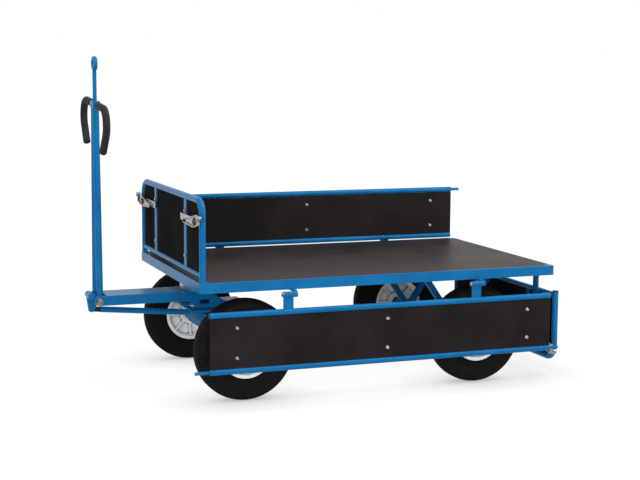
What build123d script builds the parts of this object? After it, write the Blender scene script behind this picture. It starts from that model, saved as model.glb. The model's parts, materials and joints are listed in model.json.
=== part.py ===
from build123d import *
from math import asin, cos, radians, sin, sqrt
import os

# Drop-side platform hand cart. All sizes are millimetres, +Z is up and +X points to the rear.
# The floor is z = 0 and the origin is the middle of the whole cart's outline, drawbar included.
os.makedirs("parts", exist_ok=True)

# Deck and its frame
deck_length = 1600.0
deck_width = 1000.0
deck_above_tyres = 80.0
rail_height = 42.0
rail_wall = 4.0
ledge_width = 36.0
board_thickness = 18.0
member_width = 40.0
member_height = 20.0
corner_plate = 30.0
corner_thickness = 4.0

# Wheels and axles
tyre_diameter = 420.0
tyre_width = 100.0
tyre_shoulder = 35.0
tyre_bulge_rise = 22.0
tyre_casing = 10.0
tread_thickness = 15.0
groove_width = 7.0
groove_depth = 5.0
groove_pitch = 20.0
rim_flange_diameter = 240.0
bead_diameter = 206.0
rim_width = 92.0
rim_wall = 4.0
rim_lip = 2.0
rim_web = 8.0
rim_rib_count = 8
rim_rib_width = 9.0
hub_diameter = 80.0
hub_width = 60.0
hub_clearance = 2.0
bearing_diameter = 47.0
bearing_width = 15.0
stub_diameter = 25.0
collar_diameter = 36.0
nut_across = 36.0
nut_height = 14.0
wheel_inset = 72.0
front_axle_inset = 203.0
rear_axle_inset = 350.0
beam_side = 40.0
beam_gap = 13.0
strut_width = 25.0
strut_depth = 30.0
rear_strut_spread = 175.0
rear_strut_track = 528.0
front_strut_spread = 115.0
front_strut_track = 230.0

# Side walls
side_tube = 25.0
tube_wall = 2.5
side_pitch = 230.0
side_end_gap = 30.0
side_standoff = 25.0
far_wall_shift = 21.0
side_bar_reach = 657.0
side_bolt_pitch = 123.0
pin_diameter = 14.0
front_pin_length = 61.0
rear_pin_length = 44.0
wall_clear = 0.5

# End walls
end_tube = 27.0
end_bend = 57.0
front_wall_height = 341.0
rear_wall_rise = 316.0
cross_tube = 21.0
front_cross_height = 26.5
rear_cross_height = 13.5
end_bar_reach = 250.0
end_bolt_margin = 44.0
cap_thickness = 4.0

# Boards, bars and bolts of all four walls
panel_thickness = 12.0
panel_gap = 0.5
bar_width = 30.0
bar_thickness = 5.0
bolt_diameter = 8.0
bolt_head_diameter = 17.0
bolt_head_height = 4.0
bolt_crown_diameter = 11.3
bolt_nut_diameter = 13.6
bolt_plate_gap = 10.2

# Wall hinges
knuckle_diameter = 24.0
hinge_drop = 3.5
hinge_pin_diameter = 12.0
hinge_head_diameter = 18.0
hinge_head_height = 5.0
strap_width = 43.0
strap_thickness = 6.0
fixed_knuckle_width = 16.0
tongue_reach = 35.0
tongue_thickness = 6.0
side_hinge_reach = 425.0
side_hinge_shift = -12.5
rear_hinge_reach = 340.0
rear_strap_reach = 96.0
rear_pad_height = 12.0
strap_gap = 1.0

# Latches
latch_inset = 60.0
latch_plate_height = 28.0
latch_plate_thickness = 4.0
latch_plate_tab = 20.0
latch_lever_thickness = 10.0
latch_lever_wall = 4.0
latch_play = 0.5
latch_stud_diameter = 10.0
latch_head_diameter = 16.0
latch_head_height = 3.0
latch_boss_diameter = 28.0
latch_release = 10.0
latch_hook_radius = 23.0
latch_hook_back = 22.0
latch_hook_below = 5.0
latch_nose_radius = 10.0
latch_dish_back = 35.0
latch_hook_tooth = 9.0
latch_notch_play = 1.6
latch_handle_length = 145.0
latch_handle_fall = 10.0
latch_handle_tip = 8.0

# Turntable and bogie
turntable_side = 320.0
turntable_plate_thickness = 8.0
ring_outer = 300.0
ring_inner = 240.0
ring_height = 23.5
ring_gap = 3.0
ball_diameter = 14.0
ball_count = 18
kingpin_diameter = 30.0
kingpin_drop = 20.0
seat_thickness = 6.0
arm_width = 142.0
arm_height = 42.0
arm_wall = 6.0
arm_web_start = 33.0
arm_tail = 45.0
arm_web_end = 58.0
cheek_thickness = 8.0
cheek_height = 72.0
cheek_front = 160.0
cheek_rear = 147.0
cheek_chamfer = 60.0
cheek_nose = 24.0
cheek_slope_start = 58.0
cheek_tip_reach = 33.0
cheek_tip_rise = 22.0
cheek_undercut = 5.0
ear_radius = 21.0
ear_width = 60.0
ear_root = 12.0
cheek_slot_length = 51.0
cheek_slot_height = 20.0
cheek_slot_reach = 63.0
cheek_slot_rise = 25.0
flange_start = 20.0
flange_inner = 40.0
flange_outer = 150.0
flange_thickness = 8.0

# Drawbar
pivot_overhang = 318.0
pivot_drop = 26.0
pivot_bolt_diameter = 16.0
pivot_washer_diameter = 34.0
pivot_washer_thickness = 3.0
pivot_head_height = 11.0
pivot_head_across = 24.0
foot_tube_diameter = 34.0
foot_tube_length = 120.0
leg_diameter = 28.0
leg_setback = 8.0
leg_foot_reach = 44.0
leg_top_reach = 14.3
leg_weld = 6.0
toe_tube_diameter = 29.0
toe_tube_length = 75.0
toe_tube_shift = -20.5
toe_forward = 29.0
toe_rise = 24.0
lever_forward = 20.0
lever_fall = 39.0
lever_plate = 6.0
lever_radius = 12.0
lever_pin_diameter = 12.0
lever_gap = 1.0
head_width = 64.0
head_depth = 30.0
head_height = 27.0
shank_diameter = 17.0
eye_rise = 168.0
eye_diameter = 61.0
eye_bore = 35.0
eye_thickness = 18.0
eye_round = 6.0
vent_diameter = 5.0

# Handles
handle_height = 1197.0
handle_tilt = 4.3
handle_tube = 22.0
handle_bend = 68.0
handle_reach = 234.0
handle_turn = 127.0
handle_tail = 87.0
grip_diameter = 31.0
grip_start = 64.0
grip_end_cap = 5.0

# Brake linkage
drawbar_travel = 105.0
rod_diameter = 25.0
rod_eye_thickness = 8.0
rod_eye_radius = 13.0
rod_neck_width = 20.8
rod_tube_start = 38.0
rod_spigot = 40.0
rod_rear_slack = 16.0
rod_rear_rim = 10.0
rod_rear_neck = 40.0
rod_rear_gap = 10.0
crank_length = 116.0
crank_plate = 7.0
crank_gap = 1.5
crank_pin_diameter = 16.0
crank_boss_radius = 14.4
shaft_diameter = 25.0
shaft_behind_axle = 117.0
shaft_drop = 153.0
shaft_gap = 20.0
shaft_boss_radius = 18.8
shoe_gap = 0.6
shoe_thickness = 11.0
shoe_start_angle = -4.0
shoe_sweep = 16.0
shoe_overhang = 12.0
shoe_arm = 8.0

# Fits
running_fit = 0.05
side_play = 0.5

# Stations along the cart, measured from the deck's middle until the middle itself is known
deck_top = tyre_diameter + deck_above_tyres
front_axle_reach = deck_length / 2 - front_axle_inset
rear_axle_reach = deck_length / 2 - rear_axle_inset
pivot_reach = deck_length / 2 + pivot_overhang
side_wall_length = deck_length - 2 * side_end_gap
hinge_z = deck_top - rail_height - knuckle_diameter / 2 - hinge_drop
rear_hinge_off = deck_length / 2 + strap_gap + strap_thickness / 2
rear_up_off = rear_hinge_off - strap_thickness / 2 - end_tube / 2
rear_hang_off = 2 * rear_hinge_off - rear_up_off
rear_end = max(rear_hang_off + end_tube / 2,
               side_wall_length / 2 + far_wall_shift + rear_pin_length)
front_end = pivot_reach + toe_forward + toe_tube_diameter / 2
deck_x = (front_end - rear_end) / 2

front_axle_x = deck_x - front_axle_reach
rear_axle_x = deck_x + rear_axle_reach
axle_z = tyre_diameter / 2
pivot_x = deck_x - pivot_reach
front_wall_x = deck_x - deck_length / 2 + end_tube / 2
rear_hinge_x = deck_x + rear_hinge_off
wall_y = deck_width / 2 + side_standoff
wheel_track = deck_width - 2 * wheel_inset
beam_length = wheel_track - tyre_width - 2 * beam_gap
latch_pivot_reach = deck_width / 2 - latch_inset
post_y = deck_width / 2 - end_tube / 2
rail_bottom = deck_top - rail_height
board_bottom = deck_top - board_thickness
member_bottom = board_bottom - member_height
side_low = deck_top + wall_clear + side_tube / 2 - hinge_z
side_high = side_low + side_pitch
latch_z = hinge_z + side_high

# Levels under the deck
table_z = member_bottom - turntable_plate_thickness
upper_ring_z = table_z - ring_height
ball_z = upper_ring_z - ring_gap / 2
seat_z = upper_ring_z - ring_gap - ring_height
arm_top = seat_z - seat_thickness
flange_top = arm_top - cheek_height
pivot_z = arm_top - pivot_drop
ball_circle = (ring_outer + ring_inner) / 4

# Brake points: the lever pin at rest, the cross shaft and the crank pin that the rod pushes
lever_x = pivot_x - lever_forward
lever_z = pivot_z - lever_fall
tilt = radians(drawbar_travel)
lever_travel = lever_forward + lever_fall * sin(tilt) - lever_forward * cos(tilt)
shaft_x = front_axle_x + shaft_behind_axle
flange_low = flange_top - flange_thickness
shaft_z = flange_low - shaft_drop
shaft_length = wheel_track - tyre_width - 2 * shaft_gap
shoe_outer_reach = wheel_track / 2 + shoe_overhang
crank_lean = asin(lever_travel / 2 / crank_length)
crank_x = shaft_x - crank_length * sin(crank_lean)
crank_z = shaft_z + crank_length * cos(crank_lean)
rod_length = sqrt((crank_x - lever_x) ** 2 + (lever_z - crank_z) ** 2)
rod_dir = ((crank_x - lever_x) / rod_length, 0, (crank_z - lever_z) / rod_length)


def export_piece(piece, name):
    piece.label = name
    export_step(piece, f"parts/{name}.step")


def block(low, high, mode=Mode.ADD):
    middle = [(a + b) / 2 for a, b in zip(low, high)]
    size = [abs(b - a) for a, b in zip(low, high)]
    with Locations(tuple(middle)):
        Box(*size, mode=mode)


def bar_x(middle, radius, length, mode=Mode.ADD):
    with Locations(middle):
        Cylinder(radius, length, rotation=(0, 90, 0), mode=mode)


def bar_y(middle, radius, length, mode=Mode.ADD):
    with Locations(middle):
        Cylinder(radius, length, rotation=(90, 0, 0), mode=mode)


def side_plane(y):
    return Plane.XZ.offset(-y)


# Deck frame: two long rails with a ledge for the board, two end rails between them with a plate in
# each corner that the wall posts stand on, and cross members
with BuildPart() as side_rails:
    for side in (-1, 1):
        outer = side * deck_width / 2
        web = outer - side * rail_wall
        block((deck_x - deck_length / 2, outer, rail_bottom), (deck_x + deck_length / 2, web, deck_top))
        block((deck_x - deck_length / 2 + rail_wall, web, board_bottom - rail_wall),
              (deck_x + deck_length / 2 - rail_wall, web - side * ledge_width, board_bottom))
export_piece(side_rails.part, "side_rails")

rail_inner = deck_width / 2 - rail_wall
ledge_inner = rail_inner - ledge_width

with BuildPart() as end_rails:
    for end in (-1, 1):
        outer = deck_x + end * deck_length / 2
        web = outer - end * rail_wall
        block((outer, -rail_inner, rail_bottom), (web, rail_inner, deck_top))
        block((web, -ledge_inner, board_bottom - rail_wall),
              (web - end * ledge_width, ledge_inner, board_bottom))
        for side in (-1, 1):
            block((web, side * rail_inner, deck_top - corner_thickness),
                  (web - end * corner_plate, side * (rail_inner - corner_plate), deck_top))
export_piece(end_rails.part, "end_rails")

table_half = turntable_side / 2 - member_width
member_places = [front_axle_x - table_half, front_axle_x + table_half, deck_x,
                 rear_axle_x - rear_strut_spread, rear_axle_x + rear_strut_spread]

with BuildPart() as cross_members:
    for place in member_places:
        low = (place - member_width / 2, -ledge_inner, member_bottom)
        high = (place + member_width / 2, ledge_inner, board_bottom)
        block(low, high)
        block((low[0] + tube_wall, low[1], low[2] + tube_wall),
              (high[0] - tube_wall, high[1], high[2] - tube_wall), Mode.SUBTRACT)
export_piece(cross_members.part, "cross_members")

with BuildPart() as deck_board:
    block((deck_x - deck_length / 2 + rail_wall, -rail_inner, board_bottom),
          (deck_x + deck_length / 2 - rail_wall, rail_inner, deck_top))
    for end in (-1, 1):
        web = deck_x + end * (deck_length / 2 - rail_wall)
        for side in (-1, 1):
            block((web, side * rail_inner, board_bottom),
                  (web - end * corner_plate, side * (rail_inner - corner_plate), deck_top), Mode.SUBTRACT)
export_piece(deck_board.part, "deck_board")


# Axles: a square beam with turned ends, and V struts up to the frame
def axle_beam(x):
    end_y = wheel_track / 2 - hub_width / 2 - side_play
    tip_y = wheel_track / 2 + hub_width / 2 + side_play + nut_height
    with BuildPart() as beam:
        half = beam_side / 2
        block((x - half, -beam_length / 2, axle_z - half), (x + half, beam_length / 2, axle_z + half))
        bar_y((x, 0, axle_z), collar_diameter / 2, 2 * end_y)
        bar_y((x, 0, axle_z), stub_diameter / 2, 2 * tip_y)
    return beam.part


def axle_struts(x, top_z, spread, track):
    foot_z = axle_z + beam_side / 2
    with BuildPart() as struts:
        for side in (-1, 1):
            for way in (-1, 1):
                with BuildSketch(side_plane(side * track / 2)):
                    with BuildLine():
                        Polyline((x + way * panel_gap, foot_z), (x + way * strut_depth, foot_z),
                                 (x + way * (spread + strut_depth / 2), top_z),
                                 (x + way * (spread - strut_depth / 2), top_z), close=True)
                    make_face()
                extrude(amount=strut_width / 2, both=True)
    return struts.part


def axle_nuts(x):
    with BuildPart() as nuts:
        for side in (-1, 1):
            inner = wheel_track / 2 + hub_width / 2 + side_play
            with BuildSketch(side_plane(side * (inner + nut_height / 2))):
                with Locations((x, axle_z)):
                    RegularPolygon(nut_across / 2, 6, major_radius=False)
                    Circle(stub_diameter / 2, mode=Mode.SUBTRACT)
            extrude(amount=nut_height / 2, both=True)
    return nuts.part


export_piece(axle_beam(rear_axle_x), "rear_axle_beam")
export_piece(axle_struts(rear_axle_x, member_bottom, rear_strut_spread, rear_strut_track), "rear_axle_struts")
export_piece(axle_nuts(rear_axle_x), "rear_axle_nuts")
export_piece(axle_beam(front_axle_x), "front_axle_beam")
export_piece(axle_struts(front_axle_x, flange_top - flange_thickness, front_strut_spread, front_strut_track),
             "front_axle_struts")
export_piece(axle_nuts(front_axle_x), "front_axle_nuts")


# Wheels: a hollow air tyre on a ribbed rim that turns on two bearings
def wheel_tyre(x, y):
    with BuildPart() as tyre:
        with BuildSketch(Plane(origin=(x, y, axle_z), x_dir=(0, 1, 0), z_dir=(1, 0, 0))) as section:
            bead = rim_width / 2 - rim_wall
            bead_r = bead_diameter / 2
            wall_r = rim_flange_diameter / 2 + rim_lip
            wide_r = wall_r + tyre_bulge_rise
            half = tyre_width / 2
            with BuildLine():
                Polyline((-bead, bead_r), (-bead, wall_r), (-half, wide_r), (-half, tyre_diameter / 2),
                         (half, tyre_diameter / 2), (half, wide_r), (bead, wall_r), (bead, bead_r), close=True)
            make_face()
            shoulders = section.vertices().group_by(Axis.Y)[-1]
            fillet(shoulders, tyre_shoulder)
            with Locations([(i * groove_pitch, tyre_diameter / 2) for i in (-1, 0, 1)]):
                Rectangle(groove_width, 2 * groove_depth, mode=Mode.SUBTRACT)
        axis = Axis((x, y, axle_z), (0, 1, 0))
        revolve(axis=axis)
        with BuildSketch(Plane(origin=(x, y, axle_z), x_dir=(0, 1, 0), z_dir=(1, 0, 0))) as air:
            bead -= tyre_casing
            half -= tyre_casing
            crown_r = tyre_diameter / 2 - tread_thickness
            with BuildLine():
                Polyline((-bead, bead_r), (-bead, wall_r), (-half, wide_r), (-half, crown_r),
                         (half, crown_r), (half, wide_r), (bead, wall_r), (bead, bead_r), close=True)
            make_face()
            fillet(air.vertices().group_by(Axis.Y)[-1], tyre_shoulder - tyre_casing)
        revolve(axis=axis, mode=Mode.SUBTRACT)
    return tyre.part


def wheel_rim(x, y):
    barrel_r = bead_diameter / 2
    floor_r = barrel_r - rim_wall
    hub_r = hub_diameter / 2
    edge = rim_width / 2
    axis = Axis((x, y, axle_z), (0, 1, 0))
    with BuildPart() as rim:
        with BuildSketch(Plane(origin=(x, y, axle_z), x_dir=(0, 1, 0), z_dir=(1, 0, 0))):
            with Locations((0, (barrel_r + floor_r) / 2)):
                Rectangle(rim_width, rim_wall)
            for way in (-1, 1):
                with Locations((way * (edge - rim_wall / 2), (floor_r + rim_flange_diameter / 2) / 2)):
                    Rectangle(rim_wall, rim_flange_diameter / 2 - floor_r)
            with Locations((0, barrel_r / 2)):
                Rectangle(rim_web, barrel_r)
            with Locations((0, hub_r / 2)):
                Rectangle(hub_width, hub_r)
        revolve(axis=axis)
        with BuildSketch(side_plane(y)):
            with Locations((x, axle_z)):
                with PolarLocations((hub_r + floor_r) / 2, rim_rib_count):
                    Rectangle(floor_r - hub_r + rim_wall, rim_rib_width)
        extrude(amount=hub_width / 2 - rim_wall, both=True)
        bar_y((x, y, axle_z), stub_diameter / 2 + hub_clearance, hub_width, Mode.SUBTRACT)
        for way in (-1, 1):
            seat_y = y + way * (hub_width - bearing_width) / 2
            bar_y((x, seat_y, axle_z), bearing_diameter / 2, bearing_width, Mode.SUBTRACT)
    return rim.part


def wheel_bearings(x, y):
    with BuildPart() as bearings:
        for way in (-1, 1):
            seat_y = y + way * (hub_width - bearing_width) / 2
            bar_y((x, seat_y, axle_z), bearing_diameter / 2, bearing_width)
        bar_y((x, y, axle_z), stub_diameter / 2 + running_fit, hub_width, Mode.SUBTRACT)
    return bearings.part


for end, axle_x in (("front", front_axle_x), ("rear", rear_axle_x)):
    for side, name in ((-1, "near"), (1, "far")):
        wheel_y = side * wheel_track / 2
        export_piece(wheel_tyre(axle_x, wheel_y), f"{end}_{name}_tyre")
        export_piece(wheel_rim(axle_x, wheel_y), f"{end}_{name}_rim")
        export_piece(wheel_bearings(axle_x, wheel_y), f"{end}_{name}_bearings")


# Turntable: a plate with its kingpin under the deck, two races and the balls between them
table_axis = (front_axle_x, 0)

with BuildPart() as turntable_plate:
    half = turntable_side / 2
    block((front_axle_x - half, -half, table_z), (front_axle_x + half, half, member_bottom))
    pin_low = arm_top - arm_wall - kingpin_drop
    with Locations((*table_axis, (pin_low + table_z) / 2)):
        Cylinder(kingpin_diameter / 2, table_z - pin_low)
export_piece(turntable_plate.part, "turntable_plate")


def ball_race(low):
    with BuildPart() as race:
        with BuildSketch(Plane.XY.offset(low)):
            with Locations(table_axis):
                Circle(ring_outer / 2)
                Circle(ring_inner / 2, mode=Mode.SUBTRACT)
        extrude(amount=ring_height)
        with Locations((*table_axis, ball_z)):
            Torus(ball_circle, ball_diameter / 2 + running_fit, mode=Mode.SUBTRACT)
    return race.part


export_piece(ball_race(upper_ring_z), "turntable_upper_race")
export_piece(ball_race(seat_z), "turntable_lower_race")

with BuildPart() as turntable_balls:
    with Locations((*table_axis, ball_z)):
        with PolarLocations(ball_circle, ball_count):
            Sphere(ball_diameter / 2)
export_piece(turntable_balls.part, "turntable_balls")

# Steering arm: a channel open below, with the seat of the lower race on its tail
arm_low = arm_top - arm_height
arm_end = front_axle_x + arm_tail
slot_x = front_axle_x - cheek_slot_reach
slot_z = flange_top + cheek_slot_rise

with BuildPart() as steering_arm:
    block((pivot_x, -arm_width / 2, arm_low), (arm_end, arm_width / 2, arm_top))
    with Locations((pivot_x, 0, (arm_low + arm_top) / 2)):
        Cylinder(arm_height / 2, arm_width, rotation=(90, 0, 0))
    half = arm_width / 2 - arm_wall
    block((pivot_x - arm_height, -half, arm_low), (arm_end, half, arm_top - arm_wall), Mode.SUBTRACT)
    block((pivot_x - arm_height, -half, arm_low), (pivot_x + arm_web_start, half, arm_top), Mode.SUBTRACT)
    block((front_axle_x - arm_web_end, -arm_width, arm_low), (arm_end, arm_width, arm_top - arm_wall), Mode.SUBTRACT)
    with BuildSketch(Plane.XY.offset(arm_top)):
        with Locations(table_axis):
            Circle(ring_outer / 2)
    extrude(amount=seat_thickness)
    with Locations((*table_axis, arm_top)):
        Cylinder(kingpin_diameter / 2 + running_fit, 2 * (arm_wall + seat_thickness), mode=Mode.SUBTRACT)
    bar_y((pivot_x, 0, pivot_z), pivot_bolt_diameter / 2, 2 * arm_width, Mode.SUBTRACT)
    with BuildSketch(side_plane(0)):
        with Locations((slot_x, slot_z)):
            SlotOverall(cheek_slot_length, cheek_slot_height)
    extrude(amount=arm_width, both=True, mode=Mode.SUBTRACT)
export_piece(steering_arm.part, "steering_arm")

# Bogie cheeks: a plate on each side of the arm, sloped down behind the kingpin, with a foot flange
# that the axle struts meet and an ear under it for the brake shaft
cheek_x0 = front_axle_x - cheek_front
cheek_x1 = front_axle_x + cheek_rear

with BuildPart() as bogie_cheeks:
    for side in (-1, 1):
        with BuildSketch(side_plane(side * (arm_width + cheek_thickness) / 2)):
            with BuildLine():
                Polyline((cheek_x0, arm_top), (front_axle_x - cheek_slope_start, arm_top),
                         (front_axle_x + cheek_tip_reach, flange_top + cheek_tip_rise),
                         (front_axle_x - cheek_undercut, flange_top),
                         (cheek_x0 + cheek_chamfer, flange_top),
                         (cheek_x0, arm_top - cheek_nose), close=True)
            make_face()
            with Locations((slot_x, slot_z)):
                SlotOverall(cheek_slot_length, cheek_slot_height, mode=Mode.SUBTRACT)
        extrude(amount=cheek_thickness / 2, both=True)
        with BuildSketch(side_plane(side * (arm_width + cheek_thickness) / 2)):
            with Locations((shaft_x, flange_low - ear_root / 2)):
                Rectangle(ear_width, ear_root)
            with Locations((shaft_x, shaft_z)):
                Circle(ear_radius)
            make_hull()
            with Locations((shaft_x, shaft_z)):
                Circle(shaft_diameter / 2 + running_fit, mode=Mode.SUBTRACT)
        extrude(amount=cheek_thickness / 2, both=True)
        block((cheek_x0 + flange_start, side * flange_inner, flange_low),
              (cheek_x1, side * flange_outer, flange_top))
export_piece(bogie_cheeks.part, "bogie_cheeks")

with BuildPart() as drawbar_bolt:
    bar_y((pivot_x, 0, pivot_z), pivot_bolt_diameter / 2, arm_width)
    for side in (-1, 1):
        face = arm_width / 2 + pivot_washer_thickness
        bar_y((pivot_x, side * (face - pivot_washer_thickness / 2), pivot_z),
              pivot_washer_diameter / 2, pivot_washer_thickness)
        with BuildSketch(side_plane(side * (face + pivot_head_height / 2))):
            with Locations((pivot_x, pivot_z)):
                RegularPolygon(pivot_head_across / 2, 6, major_radius=False)
        extrude(amount=pivot_head_height / 2, both=True)
export_piece(drawbar_bolt.part, "drawbar_bolt")

# Drawbar: two legs that lean together, welded to a foot tube, a toe tube, the brake lever and a head
leg_x = pivot_x + leg_setback
head_low = handle_height - head_height / 2
eye_height = handle_height + eye_rise
leg_rise = head_low + leg_weld - pivot_z
leg_lean = leg_foot_reach - leg_top_reach
leg_length = sqrt(leg_rise ** 2 + leg_lean ** 2)

with BuildPart() as drawbar_frame:
    for side in (-1, 1):
        foot = Plane(origin=(leg_x, side * leg_foot_reach, pivot_z), z_dir=(0, -side * leg_lean, leg_rise))
        with BuildSketch(foot):
            Circle(leg_diameter / 2)
        extrude(amount=leg_length)
    bar_y((pivot_x, 0, pivot_z), foot_tube_diameter / 2, foot_tube_length)
    for side in (-1, 1):
        foot = Plane(origin=(leg_x, side * leg_foot_reach, pivot_z), z_dir=(0, -side * leg_lean, leg_rise))
        with BuildSketch(foot.offset(foot_tube_diameter)):
            Circle(leg_diameter / 2 - tube_wall)
        extrude(amount=leg_length - 2 * foot_tube_diameter, mode=Mode.SUBTRACT)
        vent_rise = 2 * foot_tube_diameter
        vent_y = side * (leg_foot_reach - leg_lean * vent_rise / leg_rise)
        bar_x((leg_x + leg_diameter / 2, vent_y, pivot_z + vent_rise), vent_diameter / 2, leg_diameter, Mode.SUBTRACT)
    block((leg_x - head_depth / 2, -head_width / 2, head_low),
          (leg_x + head_depth / 2, head_width / 2, head_low + head_height))
    bar_y((pivot_x - toe_forward, toe_tube_shift, pivot_z + toe_rise), toe_tube_diameter / 2, toe_tube_length)
    for side in (-1, 1):
        plate_y = side * (rod_eye_thickness / 2 + lever_gap + lever_plate / 2)
        with BuildSketch(side_plane(plate_y)):
            with Locations((pivot_x, pivot_z), (pivot_x - toe_forward, pivot_z + toe_rise), (lever_x, lever_z)):
                Circle(lever_radius)
            make_hull()
        extrude(amount=lever_plate / 2, both=True)
    bar_y((lever_x, 0, lever_z), lever_pin_diameter / 2, rod_eye_thickness + 2 * lever_gap + 3 * lever_plate)
    bar_y((pivot_x, 0, pivot_z), pivot_bolt_diameter / 2 + running_fit, foot_tube_length, Mode.SUBTRACT)
export_piece(drawbar_frame.part, "drawbar_frame")

with BuildPart() as towing_eye:
    with Locations((leg_x, 0, eye_height)):
        Cylinder(eye_diameter / 2, eye_thickness, rotation=(0, 90, 0))
    fillet(towing_eye.edges().filter_by(GeomType.CIRCLE), eye_round)
    eye_low = head_low + head_height
    with Locations((leg_x, 0, (eye_low + eye_height - eye_bore / 2) / 2)):
        Cylinder(shank_diameter / 2, eye_height - eye_bore / 2 - eye_low)
    bar_x((leg_x, 0, eye_height), eye_bore / 2, eye_thickness, Mode.SUBTRACT)
export_piece(towing_eye.part, "towing_eye")


# Handles: a bent tube welded to each side of the head, and a foam grip over it. The far grip stands
# a little higher than the near one, as on the real cart.
def handle_path(side, start, tail):
    level = radians(handle_tilt)
    outward = (0, side * cos(level), side * sin(level))
    plane = Plane(origin=(leg_x, 0, handle_height), x_dir=outward, z_dir=(side, 0, 0))
    bend_y = handle_reach - handle_bend
    with BuildLine(plane) as path:
        first = Line((start, 0), (bend_y, 0))
        curve = JernArc(start=first @ 1, tangent=first % 1, radius=handle_bend, arc_size=-handle_turn)
        Line(curve @ 1, curve @ 1 + (curve % 1) * tail)
    return path.line


with BuildPart() as handle_tubes:
    for side in (-1, 1):
        spine = handle_path(side, (head_width - handle_tube) / 2, handle_tail)
        with BuildSketch(Plane(origin=spine @ 0, z_dir=spine % 0)):
            Circle(handle_tube / 2)
        sweep(path=spine)
        with BuildSketch(Plane(origin=spine @ 0, z_dir=spine % 0)):
            Circle(handle_tube / 2 - tube_wall)
        sweep(path=spine, mode=Mode.SUBTRACT)
    block((leg_x - head_depth / 2, -head_width / 2, head_low),
          (leg_x + head_depth / 2, head_width / 2, head_low + head_height), Mode.SUBTRACT)
export_piece(handle_tubes.part, "handle_tubes")

with BuildPart() as handle_grips:
    for side in (-1, 1):
        outside = handle_path(side, grip_start, handle_tail + grip_end_cap)
        with BuildSketch(Plane(origin=outside @ 0, z_dir=outside % 0)):
            Circle(grip_diameter / 2)
        sweep(path=outside)
        inside = handle_path(side, grip_start, handle_tail)
        with BuildSketch(Plane(origin=inside @ 0, z_dir=inside % 0)):
            Circle(handle_tube / 2)
        sweep(path=inside, mode=Mode.SUBTRACT)
export_piece(handle_grips.part, "handle_grips")

# Brake rod: a tube with a dark front eye on the lever pin and a slack eye round the crank pin
rod_plane = Plane(origin=(lever_x, 0, lever_z), x_dir=rod_dir, z_dir=(0, -1, 0))
rear_hole = crank_pin_diameter / 2 + rod_rear_slack
rear_rim = rear_hole + rod_rear_rim


def rod_section(along):
    return Plane(origin=rod_plane.from_local_coords((along, 0, 0)), z_dir=rod_dir)


with BuildPart() as brake_rod:
    tube_end = rod_length - rear_rim - rod_rear_gap
    with BuildSketch(rod_section(rod_tube_start)):
        Circle(rod_diameter / 2)
        Circle(rod_diameter / 2 - tube_wall, mode=Mode.SUBTRACT)
    extrude(amount=tube_end - rod_tube_start)
    with BuildSketch(rod_plane):
        with Locations((rod_length, 0)):
            Circle(rear_rim)
        with Locations((rod_length - rear_rim - rod_rear_neck / 2, 0)):
            Rectangle(rod_rear_neck + rear_rim, rod_diameter)
        with Locations((rod_length, 0)):
            Circle(rear_hole, mode=Mode.SUBTRACT)
    extrude(amount=rod_eye_thickness / 2, both=True)
export_piece(brake_rod.part, "brake_rod")

with BuildPart() as brake_rod_eye:
    with BuildSketch(rod_plane):
        Circle(rod_eye_radius)
        with Locations((rod_tube_start / 2, 0)):
            Rectangle(rod_tube_start, rod_neck_width)
        Circle(lever_pin_diameter / 2 + running_fit, mode=Mode.SUBTRACT)
    extrude(amount=rod_eye_thickness / 2, both=True)
    with BuildSketch(rod_section(rod_tube_start)):
        Circle(rod_diameter / 2 - tube_wall)
    extrude(amount=rod_spigot)
export_piece(brake_rod_eye.part, "brake_rod_eye")

# Brake shaft: crosses the bogie, with a crank in the middle and a curved shoe behind each front tyre
shoe_low = tyre_diameter / 2 + shoe_gap
shoe_high = shoe_low + shoe_thickness
shoe_angle = radians(shoe_start_angle + shoe_sweep / 2)
shoe_x = front_axle_x + (shoe_low + shoe_thickness / 2) * cos(shoe_angle)
shoe_z = axle_z + (shoe_low + shoe_thickness / 2) * sin(shoe_angle)

with BuildPart() as brake_shaft:
    bar_y((shaft_x, 0, shaft_z), shaft_diameter / 2, shaft_length)
    for side in (-1, 1):
        with BuildSketch(side_plane(side * (rod_eye_thickness / 2 + crank_gap + crank_plate / 2))):
            with Locations((shaft_x, shaft_z)):
                Circle(shaft_boss_radius)
            with Locations((crank_x, crank_z)):
                Circle(crank_boss_radius)
            make_hull()
        extrude(amount=crank_plate / 2, both=True)
        with BuildSketch(side_plane(side * (shaft_length - shoe_arm) / 2)):
            with Locations((shaft_x, shaft_z)):
                Circle(shaft_boss_radius)
            with Locations((shoe_x, shoe_z)):
                Circle(shoe_thickness)
            make_hull()
        extrude(amount=shoe_arm / 2, both=True)
        shoe_y0 = shaft_length / 2 - shoe_arm
        with BuildSketch(side_plane(side * (shoe_y0 + shoe_outer_reach) / 2)):
            with BuildLine():
                low = CenterArc((front_axle_x, axle_z), shoe_low, shoe_start_angle, shoe_sweep)
                high = CenterArc((front_axle_x, axle_z), shoe_high, shoe_start_angle, shoe_sweep)
                Line(low @ 0, high @ 0)
                Line(low @ 1, high @ 1)
            make_face()
        extrude(amount=(shoe_outer_reach - shoe_y0) / 2, both=True)
    bar_y((crank_x, 0, crank_z), crank_pin_diameter / 2, rod_eye_thickness + 2 * crank_gap + 2 * crank_plate)
export_piece(brake_shaft.part, "brake_shaft")

# Wall hinges: a fixed knuckle on a tongue under the rail, and a headed pin pressed into it
pin_total = strap_width + fixed_knuckle_width + 2 * side_play
side_hinges = []
for side, shift in ((-1, 0.0), (1, far_wall_shift)):
    for way in (-1, 1):
        side_hinges.append((deck_x + shift + side_hinge_shift + way * side_hinge_reach, side * wall_y))

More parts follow.
